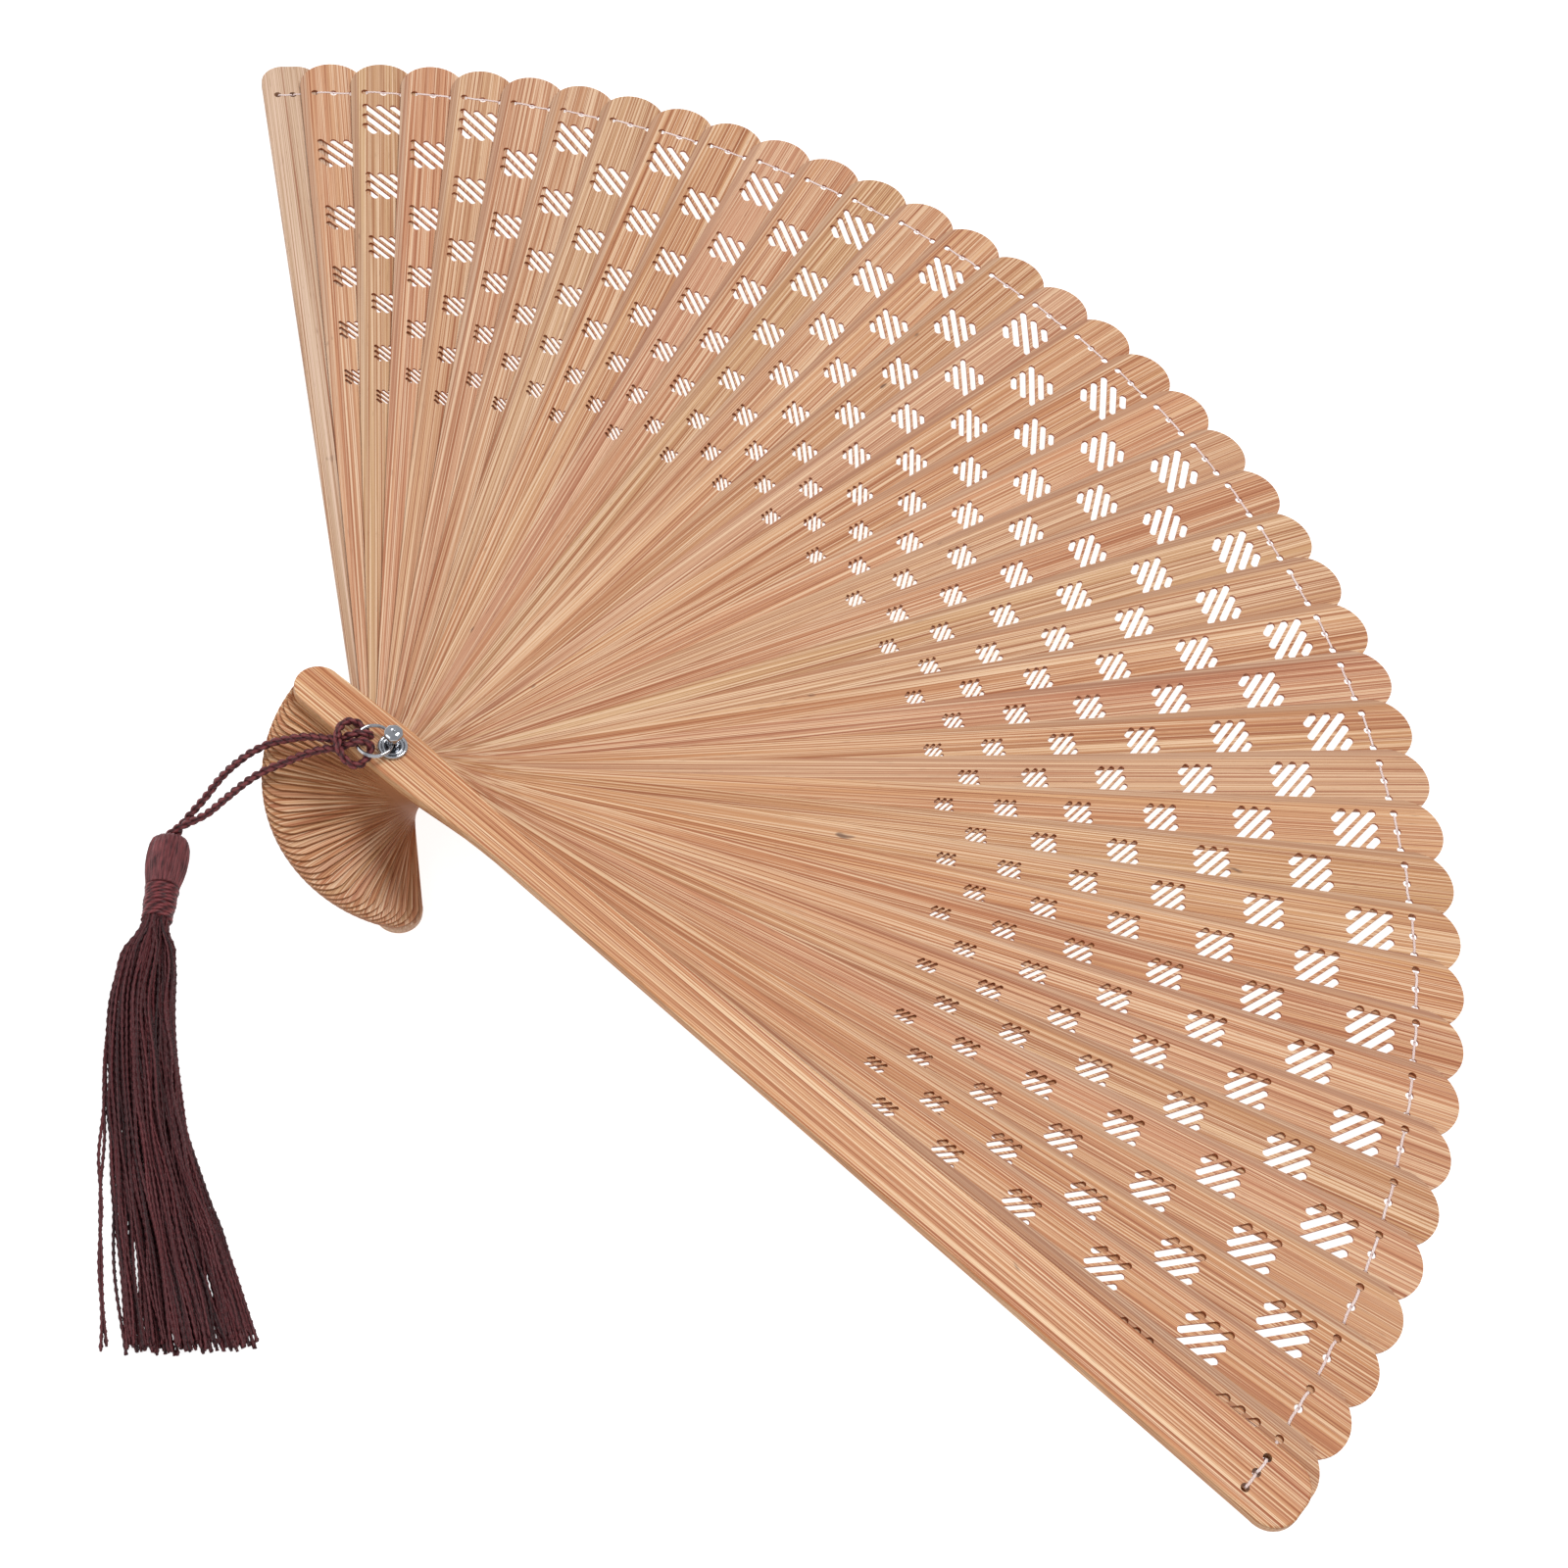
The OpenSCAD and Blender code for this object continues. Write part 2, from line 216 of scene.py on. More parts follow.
class Shader:
    """A small wrapper that adds nodes to one material."""

    def __init__(self, name):
        self.mat = bpy.data.materials.new(name)
        self.mat.use_nodes = True
        self.tree = self.mat.node_tree
        self.bsdf = self.tree.nodes["Principled BSDF"]

    def node(self, kind, *values, **settings):
        n = self.tree.nodes.new("ShaderNode" + kind)
        for key, value in settings.items():
            setattr(n, key, value)
        for i, value in enumerate(values):
            if value is not None:
                self.put(n.inputs[i], value)
        return n

    def put(self, socket, value):
        if hasattr(value, "outputs"):
            value = value.outputs[0]
        if isinstance(value, bpy.types.NodeSocket):
            self.tree.links.new(value, socket)
        else:
            socket.default_value = value

    def math(self, op, a, b=0.0, c=0.0):
        return self.node("Math", a, b, c, operation=op)

    def ramp(self, value, *stops):
        """A value or colour ramp: stops are (position, grey or colour)."""
        n = self.node("ValToRGB", value)
        bands = n.color_ramp.elements
        while len(bands) < len(stops):
            bands.new(0.5)
        for e, (at, c) in zip(bands, stops):
            e.position = at
            e.color = (c, c, c, 1) if isinstance(c, (int, float)) else c
        return n

    def mix(self, factor, a, b, blend="MIX"):
        n = self.node("Mix", data_type="RGBA", blend_type=blend)
        self.put(n.inputs[0], factor)
        self.put(n.inputs[6], a)
        self.put(n.inputs[7], b)
        return n.outputs[2]

    def noise(self, vector, scale, detail=3.0, rough=0.55, distort=0.0):
        n = self.node("TexNoise")
        self.put(n.inputs["Vector"], vector)
        n.inputs["Scale"].default_value = scale
        n.inputs["Detail"].default_value = detail
        n.inputs["Roughness"].default_value = rough
        n.inputs["Distortion"].default_value = distort
        return n.outputs[0]

    def stretch(self, vector, x, y, z):
        return self.node("VectorMath", vector, (x, y, z), operation="MULTIPLY").outputs[0]

    def bump(self, height, distance, strength=1.0, normal=None):
        n = self.node("Bump")
        n.inputs["Strength"].default_value = strength
        n.inputs["Distance"].default_value = distance
        self.put(n.inputs["Height"], height)
        if normal is not None:
            self.put(n.inputs["Normal"], normal)
        return n


def bamboo(name, angle, seed, pale, warm, dark, stain, guard=False):
    """Split bamboo: long fibres along the stick, cut walls in a darker brown that is partly real scorch
    and partly painted shade, and a painted greyish sheen along one edge.
    """
    s = Shader(name)
    coord = s.node("TexCoord")
    local = s.node("Mapping", coord.outputs["Object"]).outputs[0]
    local.node.inputs["Rotation"].default_value = (0, 0, -angle)
    own_place = (seed * 0.37, seed * 0.71, seed * 0.13)
    shifted = s.node("VectorMath", local, own_place, operation="ADD").outputs[0]
    broad = s.noise(s.stretch(shifted, 4, 330, 120), 1, 2, 0.5)
    bands = s.noise(s.stretch(shifted, 6, 1250, 500), 1, 2, 0.6)
    fibres = s.noise(s.stretch(shifted, 9, 3900, 1400), 1, 3, 0.62)
    pores = s.noise(s.stretch(shifted, 240, 5200, 2600), 1, 2, 0.6)
    body = s.mix(s.ramp(broad, (0.32, 0.0), (0.68, 1.0)), pale, warm)
    body = s.mix(s.ramp(bands, (0.36, 0.0), (0.5, 0.35), (0.7, 1.0)), body, dark)
    light = s.mix(s.ramp(fibres, (0.50, 0.0), (0.61, 0.95)), body, srgb(250, 222, 192))
    lines = s.ramp(fibres, (0.36, 1.0), (0.46, 0.0))
    colour = s.mix(s.math("MULTIPLY", lines, 0.85), light, srgb(164, 94, 54))
    colour = s.mix(s.ramp(pores, (0.24, 0.55), (0.36, 0.0)), colour, srgb(126, 74, 44))
    spots = s.ramp(s.noise(s.stretch(shifted, 120, 300, 100), 1, 2, 0.5), (0.755, 0.0), (0.80, 0.75))
    colour = s.mix(spots, colour, srgb(88, 52, 30))

    # distance inside the stick's edge, from its own taper, in metres
    axes = s.node("SeparateXYZ", local)
    width = s.math("MULTIPLY_ADD", axes.outputs[0],
                   (TIP_HALF - WAIST_HALF) / (TIP_CENTRE - WAIST_REACH),
                   (WAIST_HALF - WAIST_REACH * (TIP_HALF - WAIST_HALF) / (TIP_CENTRE - WAIST_REACH)) * MM)
    inside = s.math("SUBTRACT", width, s.math("ABSOLUTE", axes.outputs[1]))
    facing = s.node("SeparateXYZ", coord.outputs["Normal"])
    wall = s.ramp(s.math("ABSOLUTE", facing.outputs[2]), (0.45, 1.0), (0.75, 0.0))
    if guard:
        grain = s.noise(s.stretch(shifted, 60, 60, 5200), 1, 3, 0.6)
        side = s.mix(s.ramp(grain, (0.35, 0.0), (0.65, 1.0)), srgb(150, 108, 76), srgb(214, 172, 132))
        colour = s.mix(s.math("MULTIPLY", wall, 0.75), colour, side)
    else:
        # Painted light: a greyer band along the counter-clockwise edge, from 70 mm out, stands in for the
        # sheen of a rounded-off edge.
        ccw = s.math("SUBTRACT", width, axes.outputs[1])
        out = s.ramp(axes.outputs[0], (0.07, 0.0), (0.12, 1.0))
        rim = s.ramp(s.math("DIVIDE", ccw, 0.0016), (0.0, 1.0), (0.7, 0.85), (1.0, 0.0))
        rim = s.math("MULTIPLY", s.math("MULTIPLY", rim, out), 0.7)
        sheen_grey = s.mix(0.8, colour, srgb(186, 150, 128))
        colour = s.mix(rim, colour, sheen_grey)
        # The side and slot walls take a darker brown: partly real scorch from the cut, partly painted
        # shade in the slots and along the lines between sticks.
        slots = s.ramp(s.math("DIVIDE", inside, 0.0008), (0.55, 0.0), (0.75, 1.0))
        beyond = s.ramp(axes.outputs[0], (0.086, 0.0), (0.088, 1.0), (0.177, 1.0), (0.179, 0.0))
        burnt_and_shaded = s.mix(s.math("MULTIPLY", slots, beyond), srgb(164, 112, 76), srgb(172, 98, 56))
        colour = s.mix(wall, colour, burnt_and_shaded)
    s.put(s.bsdf.inputs["Base Color"], s.mix(1.0, colour, stain, "MULTIPLY"))
    s.put(s.bsdf.inputs["Roughness"], s.ramp(fibres, (0.3, 0.62), (0.7, 0.42)))
    s.bsdf.inputs["Specular IOR Level"].default_value = 0.42
    s.put(s.bsdf.inputs["Normal"], s.bump(s.mix(0.5, fibres, bands), 0.00006, 0.8))
    return s.mat


def yarn(name, shaded_tone, lit, twist, plies, sheen, span=(0.30, 0.95)):
    """Silky twisted thread: filaments wind round the strand, and each strand has its own tone; across the
    twist the colour moves between a shaded and a lit tone, as painted shade and highlight.
    """
    s = Shader(name)
    uv = s.node("SeparateXYZ", s.node("UVMap", uv_map="UVMap").outputs[0])
    wind = s.math("MULTIPLY_ADD", uv.outputs[1], twist, s.math("MULTIPLY", uv.outputs[0], plies))
    wave = s.math("SINE", s.math("MULTIPLY", wind, TAU))
    fine = s.math("SINE", s.math("MULTIPLY", wind, TAU * 4))
    slow = s.math("MULTIPLY", uv.outputs[1], 0.35)
    spread = s.node("CombineXYZ", s.math("MULTIPLY", wind, 3.0), slow, uv.outputs[0])
    fuzz = s.noise(spread, 3.0, 4, 0.65)
    tone = s.node("Attribute", attribute_name="tone", attribute_type="GEOMETRY").outputs["Fac"]
    own_tone = s.math("MULTIPLY_ADD", tone, 0.28, 0.08)
    # Painted light in part: the colour runs between a shaded and a lit tone; the twist wave paints shade
    # and highlight across the plies, while the fuzz and each strand's tone are real variation.
    blend = s.math("MULTIPLY_ADD", wave, 0.16, s.math("MULTIPLY_ADD", fuzz, 0.7, own_tone))
    s.put(s.bsdf.inputs["Base Color"], s.ramp(blend, (span[0], shaded_tone), (span[1], lit)))
    s.put(s.bsdf.inputs["Roughness"], s.ramp(fuzz, (0.3, 0.36), (0.7, 0.58)))
    s.bsdf.inputs["Sheen Weight"].default_value = sheen
    s.bsdf.inputs["Sheen Roughness"].default_value = 0.4
    s.bsdf.inputs["Sheen Tint"].default_value = srgb(220, 130, 134)
    s.bsdf.inputs["Specular IOR Level"].default_value = 0.3
    relief = s.math("MULTIPLY_ADD", fine, 0.3, s.math("MULTIPLY_ADD", fuzz, 0.8, wave))
    s.put(s.bsdf.inputs["Normal"], s.bump(relief, 0.00007, 0.7))
    return s.mat


def chrome():
    s = Shader("chrome")
    where = s.node("TexCoord").outputs["Object"]
    smudge = s.noise(where, 260, 3, 0.5)
    scratch = s.noise(s.stretch(where, 5200, 900, 900), 1, 2, 0.5)
    grey = s.ramp(smudge, (0.3, srgb(160, 162, 166)), (0.7, srgb(214, 215, 218)))
    s.put(s.bsdf.inputs["Base Color"], grey)
    s.put(s.bsdf.inputs["Roughness"], s.ramp(smudge, (0.3, 0.07), (0.75, 0.15)))
    s.bsdf.inputs["Metallic"].default_value = 1
    s.put(s.bsdf.inputs["Normal"], s.bump(scratch, 0.000002, 0.25))
    return s.mat


def paper_white():
    s = Shader("floor")
    where = s.node("TexCoord").outputs["Object"]
    s.put(s.bsdf.inputs["Base Color"], s.ramp(s.noise(where, 60, 3), (0.3, 0.36), (0.7, 0.4)))
    s.bsdf.inputs["Roughness"].default_value = 0.9
    s.bsdf.inputs["Emission Color"].default_value = (1, 1, 1, 1)
    s.bsdf.inputs["Emission Strength"].default_value = 0.88
    return s.mat


def dress(obj, material):
    obj.data.materials.clear()
    obj.data.materials.append(material)
    for face in obj.data.polygons:
        face.material_index = 0
    return obj


# Each yarn's two colours are its painted shade and its painted highlight.
CORD_YARN = yarn("cord_yarn", srgb(38, 11, 15), srgb(138, 66, 68), 0.55, 2, 0.12, (0.38, 0.86))
SKIRT_YARN = yarn("skirt_yarn", srgb(34, 11, 14), srgb(112, 52, 55), 0.7, 2, 0.08)
STITCH = yarn("stitch_thread", srgb(226, 188, 176), srgb(255, 242, 236), 1.4, 2, 0.1)
CHROME = chrome()


# ---------------------------------------------------------------- cord: two-ply, doubled, knotted
def two_ply(soup, path, diameter, lay, sides=8, shade=0.5, start=0.0):
    """Two plies wound round each other along a path in mm."""
    t, n, b = frames(path)
    along = np.concatenate([[0], np.cumsum(np.linalg.norm(np.diff(path, axis=0), axis=1))])
    for ply in (0, 1):
        a = TAU * along / lay + start + math.pi * ply
        centre = path + diameter * PLY_OFFSET * (np.cos(a)[:, None] * n + np.sin(a)[:, None] * b)
        soup.strand(centre, diameter * PLY_RADIUS, sides=sides, shade=shade + 0.1 * ply)


def make_cord(name, node, route, start):
    path = cord_frame(smooth_path(route, 0.2))
    soup = Soup()
    two_ply(soup, path, CORD_D, CORD_LAY, sides=10, start=start)
    obj = dress(soup.make(name), CORD_YARN)
    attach(obj, "tassel")
    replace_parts(obj, node)
    return obj, path * MM


upper, upper_path = make_cord("cord_upper", "cord_upper_half", UPPER_ROUTE, 0.0)
lower, lower_path = make_cord("cord_lower", "cord_lower_half", LOWER_ROUTE, 0.6)


# ---------------------------------------------------------------- tassel
def tassel_space(points):
    """Points in mm across, along and above the tassel's leaning axis, in mm in the row frame."""
    p = np.asarray(points, float)
    c, s = math.cos(TASSEL_LEAN), math.sin(TASSEL_LEAN)
    return cord_frame(np.stack([TASSEL_X + p[:, 0] * c + p[:, 1] * s,
                                TASSEL_Y - p[:, 0] * s + p[:, 1] * c, TASSEL_Z + p[:, 2]], 1))


def make_head():
    """Threads folded over the cord's end: ridged, pinched at the top where the cord goes in."""
    around, rings = 132, 44
    profile = [(0.0, 0.30), (0.015, 0.52), (0.05, 0.70), (0.12, 0.86), (0.25, 0.965), (0.42, 1.0),
               (0.6, 0.985), (0.78, 0.91), (0.92, 0.82), (1.0, 0.78)]
    at, share = zip(*profile)
    ridges = [(rng.randint(11, 34), rng.uniform(0, TAU), rng.uniform(-0.5, 0.5)) for _ in range(7)]
    verts, faces, uvs = [], [], []
    for i in range(rings):
        f = (i / (rings - 1)) ** 1.25
        r = HEAD_R * float(np.interp(f, at, share))
        for s in range(around):
            a = TAU * s / around
            bump = sum(math.cos(n * a + p + d * f * 3) for n, p, d in ridges) / len(ridges)
            rr = r * (1 + 0.085 * bump) + 0.05 * math.sin(3 * a + 1.3)
            sink = -0.25 * math.exp(-f * 30) + 0.18 * bump * math.exp(-f * 12)
            verts.append((rr * math.cos(a), f * HEAD_LEN - sink, rr * math.sin(a) * 0.97))
    for i in range(rings - 1):
        for s in range(around):
            u, v = i * around + s, i * around + (s + 1) % around
            faces.append((u, u + around, v + around, v))
            for q, w in ((s, i), (s, i + 1), (s + 1, i + 1), (s + 1, i)):
                uvs.append((w / rings * 2, q / around * 42))
    for ring, order in ((0, 1), (rings - 1, -1)):
        faces.append(tuple([ring * around + s for s in range(around)][::order]))
        uvs += [(0.5, 0.5)] * around
    soup = Soup()
    soup.verts, soup.faces, soup.uvs = [tassel_space(verts)], faces, uvs
    soup.shade = [0.5] * len(verts)
    return soup.make("tassel_head_threads")


def silk():
    """Loose silky filaments running down the head, streaked dark and light: partly their own tone, partly
    painted shade and highlight.
    """
    s = Shader("head_silk")
    uv = s.node("SeparateXYZ", s.node("UVMap", uv_map="UVMap").outputs[0])
    around = s.math("MULTIPLY", uv.outputs[1], 1.0)
    spread = s.node("CombineXYZ", around, s.math("MULTIPLY", uv.outputs[0], 1.1), 0.0)
    coarse = s.noise(spread, 1.6, 3, 0.6)
    fine = s.noise(s.stretch(spread, 6, 1.5, 1), 1.5, 4, 0.65)
    blend = s.math("MULTIPLY_ADD", coarse, 0.6, s.math("MULTIPLY", fine, 0.45))
    # Painted light in part: the streaks move the colour between a shaded and a lit tone, as painted shade
    # and highlight over the filaments' own tone.
    s.put(s.bsdf.inputs["Base Color"], s.ramp(blend, (0.40, srgb(30, 9, 12)), (0.62, srgb(136, 70, 72))))
    s.put(s.bsdf.inputs["Roughness"], s.ramp(fine, (0.3, 0.34), (0.7, 0.55)))
    s.bsdf.inputs["Sheen Weight"].default_value = 0.12
    s.bsdf.inputs["Sheen Roughness"].default_value = 0.4
    s.bsdf.inputs["Sheen Tint"].default_value = srgb(220, 130, 134)
    s.bsdf.inputs["Specular IOR Level"].default_value = 0.3
    s.put(s.bsdf.inputs["Normal"], s.bump(s.math("MULTIPLY_ADD", fine, 0.7, coarse), 0.0002, 0.9))
    return s.mat


head = dress(make_head(), silk())
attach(head, "tassel")
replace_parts(head, "tassel_head")


def make_binding():
    """Fine thread wound tightly round the neck over a plain core."""
    turns, r = 9, 0.4
    start_y = HEAD_LEN
    soup = Soup()
    core = [(0, start_y + f * BIND_LEN, 0) for f in np.linspace(0.01, 0.99, 8)]
    soup.strand(tassel_space(core), BIND_R - r * 1.3 - 0.25, sides=24, shade=0.2)
    steps = turns * 40
    path = []
    for i in range(steps + 1):
        f = i / steps
        a = TAU * turns * f
        wobble = 0.10 * math.sin(a * 0.37 + 1) + 0.07 * math.sin(a * 1.13)
        rr = BIND_R - r * 0.75 - 0.3 * f + 0.07 * math.sin(a * 0.21 + 2)
        path.append((rr * math.cos(a), start_y + r + f * (BIND_LEN - 2 * r) + wobble * 0.6,
                     rr * math.sin(a)))
    soup.strand(tassel_space(path), r, sides=8, shade=0.6)
    return soup.make("tassel_winding")


binding = dress(make_binding(), CORD_YARN)
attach(binding, "tassel")
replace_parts(binding, "tassel_binding")


def eased(at, values):
    """A smooth curve through a few stations, as a function of the distance along the skirt."""
    curve = smooth_path([(a, v, 0) for a, v in zip(at, values)], 0.5)
    return lambda y: float(np.interp(y, curve[:, 0], curve[:, 1]))


def make_skirt(strands=150):
    """Loose two-ply threads that leave the winding, fall to the floor and fan out unevenly."""
    soup = Soup()
    root = HEAD_LEN + BIND_LEN - 0.6
    root_x = TASSEL_X + root * math.sin(TASSEL_LEAN)
    root_y = TASSEL_Y + root * math.cos(TASSEL_LEAN)
    stations = [0, 8, 18, 38, 56, SKIRT_LEN]
    centre = eased(stations, [0, 1.4, 2.1, 0.1, -3.6, -7.1])
    half = eased(stations, [2.3, 4.2, 5.0, 5.8, 7.7, 9.3])
    pile = eased(stations, [5.0, 5.3, 5.0, 4.2, 3.2, 2.7])
    apart = [1.34, 1.3, 1.02, 0.97, -1.12, -1.09]
    for j in range(strands):
        a, q = rng.uniform(0, TAU), math.sqrt(rng.random())
        x0, z0 = 2.05 * q * math.cos(a), 2.05 * q * math.sin(a)
        u = max(-1.0, min(0.88, x0 / 2.05 + rng.gauss(-0.04, 0.17)))
        lift = 0.5 + 0.5 * z0 / 2.05
        length = SKIRT_LEN - abs(rng.gauss(0, 1.7)) - 0.6 * u * u
        bend = rng.gauss(0, 0.3)
        wave = [(rng.uniform(0.05, 0.3), rng.uniform(14, 40), rng.uniform(0, TAU)) for _ in range(2)]
        if j < len(apart):
            bend, lift = 0.0, 0.1
            u = math.copysign(0.95, apart[j])
        path = []
        for i in range(int(length / 0.36)):
            y = i * 0.36
            f = y / SKIRT_LEN
            ease = min(1.0, y / 6)
            ease = ease * ease * (3 - 2 * ease)
            out = u
            if j < len(apart):
                out = u + (apart[j] - u) * min(1.0, max(0.0, (y - 12) / 40))
            x = (1 - ease) * x0 + ease * (out * half(y) + bend * f * 2)
            x += centre(y) + ease * sum(h * math.sin(TAU * y / l + p) for h, l, p in wave)
            top = pile(y) * math.sqrt(max(0.08, 1 - 0.8 * u * u))
            floor_z = 0.42 + lift * max(0.0, top - 0.9)
            fall = min(1.0, y / 20)
            fall = fall * fall * (3 - 2 * fall)
            z = (1 - fall) * (TASSEL_Z + z0) + fall * floor_z
            path.append((root_x + x, root_y + y, max(0.4, z)))
        radii = np.full(len(path), THREAD_R)
        radii[-6:] = [0.35, 0.36, 0.37, 0.38, 0.37, 0.33]
        soup.strand(cord_frame(path), radii, twist=0.34, lobes=0.2, phase=rng.uniform(0, TAU),
                    sides=6, shade=rng.uniform(0.0, 1.0))
    return soup.make("tassel_threads")


skirt = dress(make_skirt(), SKIRT_YARN)
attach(skirt, "tassel")
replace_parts(skirt, "tassel_skirt")

# ---------------------------------------------------------------- sticks and guards
for k in range(1, STICKS + 1):
    across = (k - 1) / (STICKS - 1)
    warmth = min(1.0, max(0.0, 0.25 + 0.5 * across + rng.uniform(-0.3, 0.3)))
    glow = rng.uniform(0.93, 1.05)

    hue = (1.0, rng.uniform(0.95, 1.04), rng.uniform(0.88, 1.08))
    stain = (0.81 - 0.04 * across, 0.74 - 0.09 * across, 0.675 - 0.16 * across, 1)

    def tint(cool, hot):
        return tuple(glow * h * (a + (b - a) * warmth) for a, b, h in zip(cool[:3], hot[:3], hue)) + (1,)

    material = bamboo(f"bamboo_{k:02d}", stick_angle(k), k * 1.7,
                      tint(srgb(228, 192, 152), srgb(226, 172, 124)),
                      tint(srgb(216, 170, 132), srgb(218, 150, 104)),
                      tint(srgb(192, 142, 106), srgb(188, 116, 76)), stain)
    dress(nodes[f"stick_{k:02d}"], material)


def soft_edged(node, radius):
    """A copy of a guard with its flat triangles joined and its rims rounded over."""
    obj = nodes[node].copy()
    obj.data = nodes[node].data.copy()
    for key in list(obj.keys()):
        del obj[key]
    obj.parent = None
    obj.name = obj.data.name = node + "_planed"
    bpy.context.scene.collection.objects.link(obj)
    bm = bmesh.new()
    bm.from_mesh(obj.data)
    bmesh.ops.remove_doubles(bm, verts=bm.verts, dist=1e-6)
    bmesh.ops.dissolve_limit(bm, angle_limit=math.radians(1), verts=bm.verts, edges=bm.edges)
    low = min(v.co.z for v in bm.verts)
    high = max(v.co.z for v in bm.verts)

    def on_rim(e):
        flat = any(all(abs(v.co.z - level) < 1e-6 for v in e.verts) for level in (low, high))
        long_way = all(math.hypot(v.co.x, v.co.y) > 3 * MM for v in e.verts)
        return flat and long_way and len(e.link_faces) == 2 and e.calc_face_angle(0) > math.radians(60)

    rims = [e for e in bm.edges if on_rim(e)]
    sharp = set()
    for e in rims:
        wall = next((f for f in e.link_faces if abs(f.normal.z) < 0.5), None)
        middle = (e.verts[0].co + e.verts[1].co) / 2
        reach = math.hypot(middle.x, middle.y)
        along = Vector((math.cos(node_angle[node]), math.sin(node_angle[node]), 0))
        side = abs(along.cross(middle).z)
        at_hole = abs(reach - THREAD_REACH * MM) < 1.5 * MM and side < 4.2 * MM
        if wall is None or at_hole:
            sharp.add(e)
    bmesh.ops.bevel(bm, geom=[e for e in rims if e not in sharp], offset=radius, offset_type="OFFSET",
                    segments=4, profile=0.5, affect="EDGES", clamp_overlap=True)
    for f in bm.faces:
        f.smooth = abs(f.normal.z) < 0.999
    bm.to_mesh(obj.data)
    bm.free()
    return obj


node_angle = {"rear_guard": REAR_ANGLE, "front_guard": FRONT_ANGLE}
GUARD_ROUNDING = 0.4
GUARD_SEED = {"rear_guard": 80.0, "front_guard": 93.0}
GUARD_TONES = {
    "rear_guard": (srgb(232, 204, 168), srgb(222, 190, 150), srgb(196, 158, 120), (0.78, 0.725, 0.75, 1)),
    "front_guard": (srgb(226, 174, 132), srgb(214, 150, 106), srgb(184, 112, 74), (0.84, 0.75, 0.61, 1))}
for node, tones in GUARD_TONES.items():
    material = bamboo(node + "_bamboo", node_angle[node], GUARD_SEED[node], *tones, guard=True)
    piece = dress(soft_edged(node, GUARD_ROUNDING * MM), material)
    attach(piece, node)
    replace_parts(piece, node)


# ---------------------------------------------------------------- lacing thread
def stitch(name, body, angle, z, laterals, dip):
    """A fine thread that lies from hole to hole and dips into each."""
    soup = Soup()
    for a, b in zip(laterals[:-1], laterals[1:]):
        lean = rng.uniform(-0.18, 0.18)
        steps = 14
        path = []
        for i in range(steps + 1):
            f = i / steps
            sag = -dip * (math.exp(-f * 22) + math.exp(-(1 - f) * 22))
            out = THREAD_REACH + lean * math.sin(math.pi * f) + rng.uniform(-0.02, 0.02)
            path.append((out, a + (b - a) * f, z + sag))
        points = turned(path, angle) / MM
        soup.strand(points, 0.23, twist=0.0, sides=8, shade=rng.uniform(0.3, 0.9), flat=0.14)
    obj = dress(soup.make(name), STITCH)
    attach(obj, body)
    return obj


for k in range(1, STICKS + 1):
    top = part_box(f"stick_{k:02d}")[1].z / MM
    hole = THREAD_PITCH - 0.35
    stitch(f"stitch_{k:02d}", f"stick_{k:02d}", stick_angle(k), top + 0.038, (hole, 0.0, -hole), 0.25)
for node in ("rear_guard", "front_guard"):
    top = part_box(node)[1].z / MM
    laterals = (GUARD_THREAD_PITCH, 0.0, -GUARD_THREAD_PITCH)
    obj = stitch(f"{node}_stitch", node, node_angle[node], top + 0.04, laterals, 0.4)
    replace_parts(obj, node + "_thread")

# ---------------------------------------------------------------- rivet, eyelet and split ring
for node in ("rivet_shank", "rivet_foot"):
    dress(nodes[node], CHROME)


def lathe(name, profile, flats=0.0):
    """Spins a closed profile of (radius, height) in metres about the rivet's axis."""
    sides = 72
    verts, faces = [], []
    for r, z in profile:
        for i in range(sides):
            a = TAU * i / sides
            rr = r * (1 - flats + flats * math.cos(8 * a))
            verts.append((rr * math.cos(a), rr * math.sin(a), z))
    n = len(profile)
    for j in range(n):
        for i in range(sides):
            u, v = j * sides, ((j + 1) % n) * sides
            faces.append((u + i, u + (i + 1) % sides, v + (i + 1) % sides, v + i))
    mesh = bpy.data.meshes.new(name)
    mesh.from_pydata(verts, [], faces)
    bm = bmesh.new()
    bm.from_mesh(mesh)
    bmesh.ops.recalc_face_normals(bm, faces=bm.faces)
    bm.to_mesh(mesh)
    bm.free()
    mesh.polygons.foreach_set("use_smooth", [True] * len(mesh.polygons))
    obj = bpy.data.objects.new(name, mesh)
    bpy.context.scene.collection.objects.link(obj)
    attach(obj, "rivet")
    return dress(obj, CHROME)


def make_rivet_head():
    """A peened dome with eight soft flats round it and a small level crown."""
    low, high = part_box("rivet_head")
    r, h = (high.x - low.x) / 2, high.z - low.z
    shape = [(0.05, 0), (0.76, 0), (0.86, 0.03), (0.95, 0.1), (1, 0.22), (1, 0.4), (1, 0.56),
             (0.96, 0.68), (0.86, 0.8), (0.72, 0.89), (0.56, 0.96), (0.48, 0.99), (0.4, 1), (0.05, 1)]
    return lathe("rivet_crown", [(1.12 * r * x, low.z + h * z) for x, z in shape], 0.02)


def make_eyelet():
    """A washer with a rolled outer rim and a smaller rolled collar round the neck."""
    low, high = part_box("front_eyelet")
    r = (high.x - low.x) / 2
    roll = 0.3 * MM
    face = high.z - roll
    bore = 1.06 * MM
    shape = [(bore, low.z), (bore, (low.z + face) / 2), (bore, face)]
    for middle in (1.55 * MM, r - roll):
        shape += [(middle - roll * math.cos(math.pi * i / 10), face + roll * math.sin(math.pi * i / 10))
                  for i in range(11)]
    shape += [(r, (low.z + face) / 2), (r, low.z), (r - roll, low.z)]
    return lathe("eyelet_rolled", shape)


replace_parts(make_rivet_head(), "rivet_head")
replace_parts(make_eyelet(), "front_eyelet")


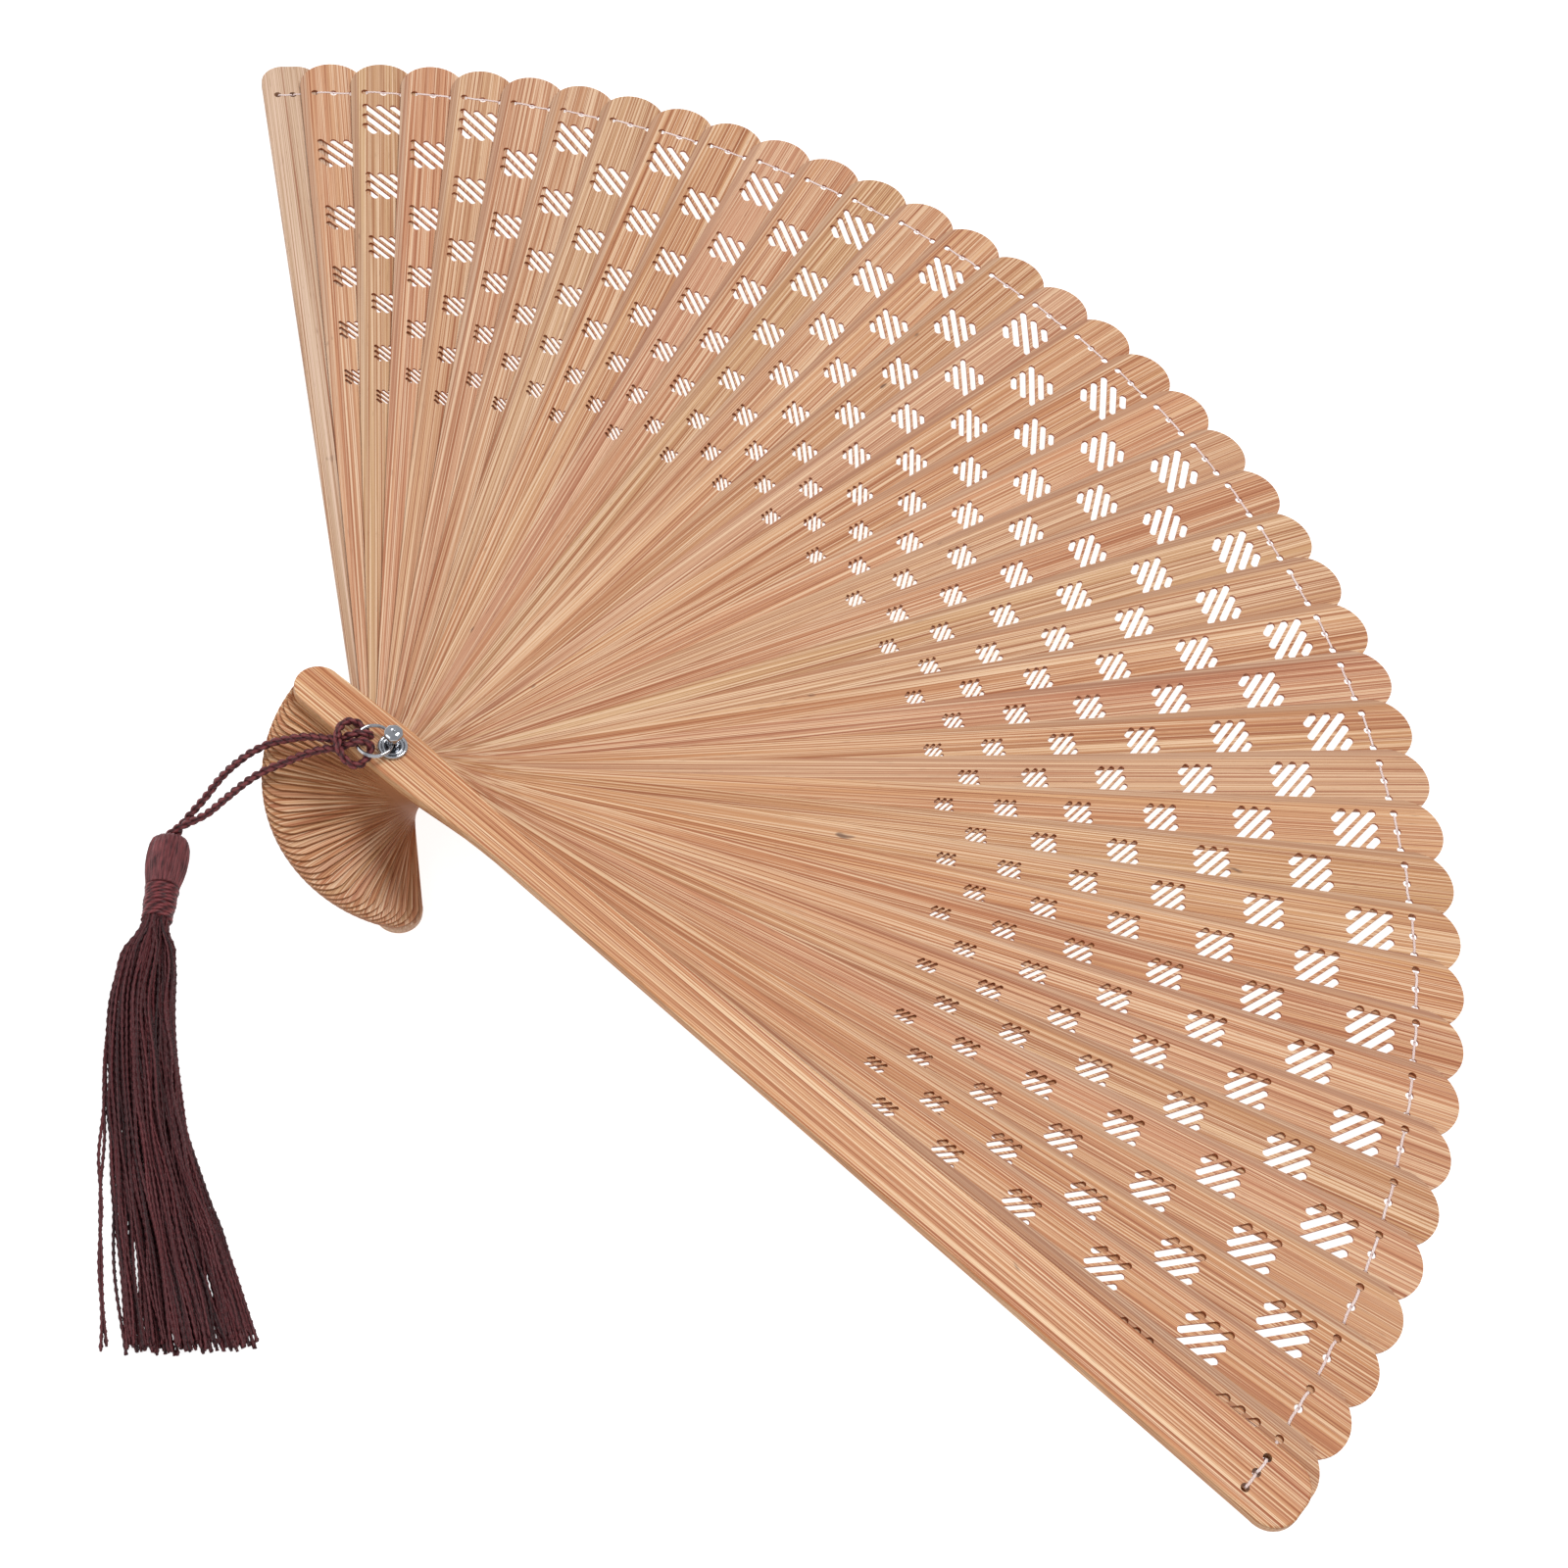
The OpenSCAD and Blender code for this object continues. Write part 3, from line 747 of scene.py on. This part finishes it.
def make_split_ring():
    """A ring wound twice from flattened wire, with its ends side by side."""
    low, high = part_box("tassel_ring")
    z = (low.z + high.z) / 2 / MM
    wire = (high.z - low.z) / 2 / MM
    soup = Soup()
    path = []
    steps = 150
    for i in range(steps + 1):
        a = TAU * (2.02 * i / steps) + math.radians(200)
        level = 0.5 * wire * math.tanh(7 * (i / steps - 0.5) * 2)
        path.append((RING_R + RING_R * math.cos(a), RING_R * math.sin(a), z + level))
    soup.strand(cord_frame(path), wire * 0.62, sides=12, flat=0.8)
    return soup.make("split_ring")


ring = dress(make_split_ring(), CHROME)
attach(ring, "tassel")
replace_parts(ring, "tassel_ring")


# ---------------------------------------------------------------- floor, light and view
def make_stage():
    mesh = bpy.data.meshes.new("floor")
    size, z = 1.5, -0.0003
    corners = [(-size, -size, z), (size, -size, z), (size, size, z), (-size, size, z)]
    mesh.from_pydata(corners, [], [(0, 1, 2, 3)])
    floor = bpy.data.objects.new("floor", mesh)
    bpy.context.scene.collection.objects.link(floor)
    mesh.materials.append(paper_white())


def area_light(name, offset, size, power):
    target = Vector((0.02, 0.06, 0.01))
    data = bpy.data.lights.new(name, "AREA")
    data.shape = "DISK"
    data.size = size
    data.energy = power
    lamp = bpy.data.objects.new(name, data)
    lamp.location = target + offset
    lamp.rotation_euler = offset.to_track_quat("Z", "Y").to_euler()
    bpy.context.scene.collection.objects.link(lamp)


make_stage()
area_light("key", 0.9 * cam_up + 0.55 * cam_right + 0.8 * cam_back, 0.5, 9.0)
area_light("fill", -0.9 * cam_right + 0.2 * cam_up + 0.9 * cam_back, 0.9, 4.0)
world = bpy.data.worlds.new("studio")
bpy.context.scene.world = world
world.use_nodes = True
sky = world.node_tree.nodes
height = sky.new("ShaderNodeSeparateXYZ")
bands = sky.new("ShaderNodeValToRGB")
world.node_tree.links.new(sky.new("ShaderNodeTexCoord").outputs["Generated"], height.inputs[0])
world.node_tree.links.new(height.outputs[2], bands.inputs[0])
for e, at, grey in ((bands.color_ramp.elements[0], 0.1, 0.85), (bands.color_ramp.elements[1], 0.5, 1.0)):
    e.position = at
    e.color = (0.93 * grey, 0.95 * grey, grey, 1)
world.node_tree.links.new(bands.outputs[0], sky["Background"].inputs[0])
sky["Background"].inputs[1].default_value = 0.6
bpy.context.scene.view_settings.view_transform = "Standard"
bpy.context.scene.view_settings.look = "None"
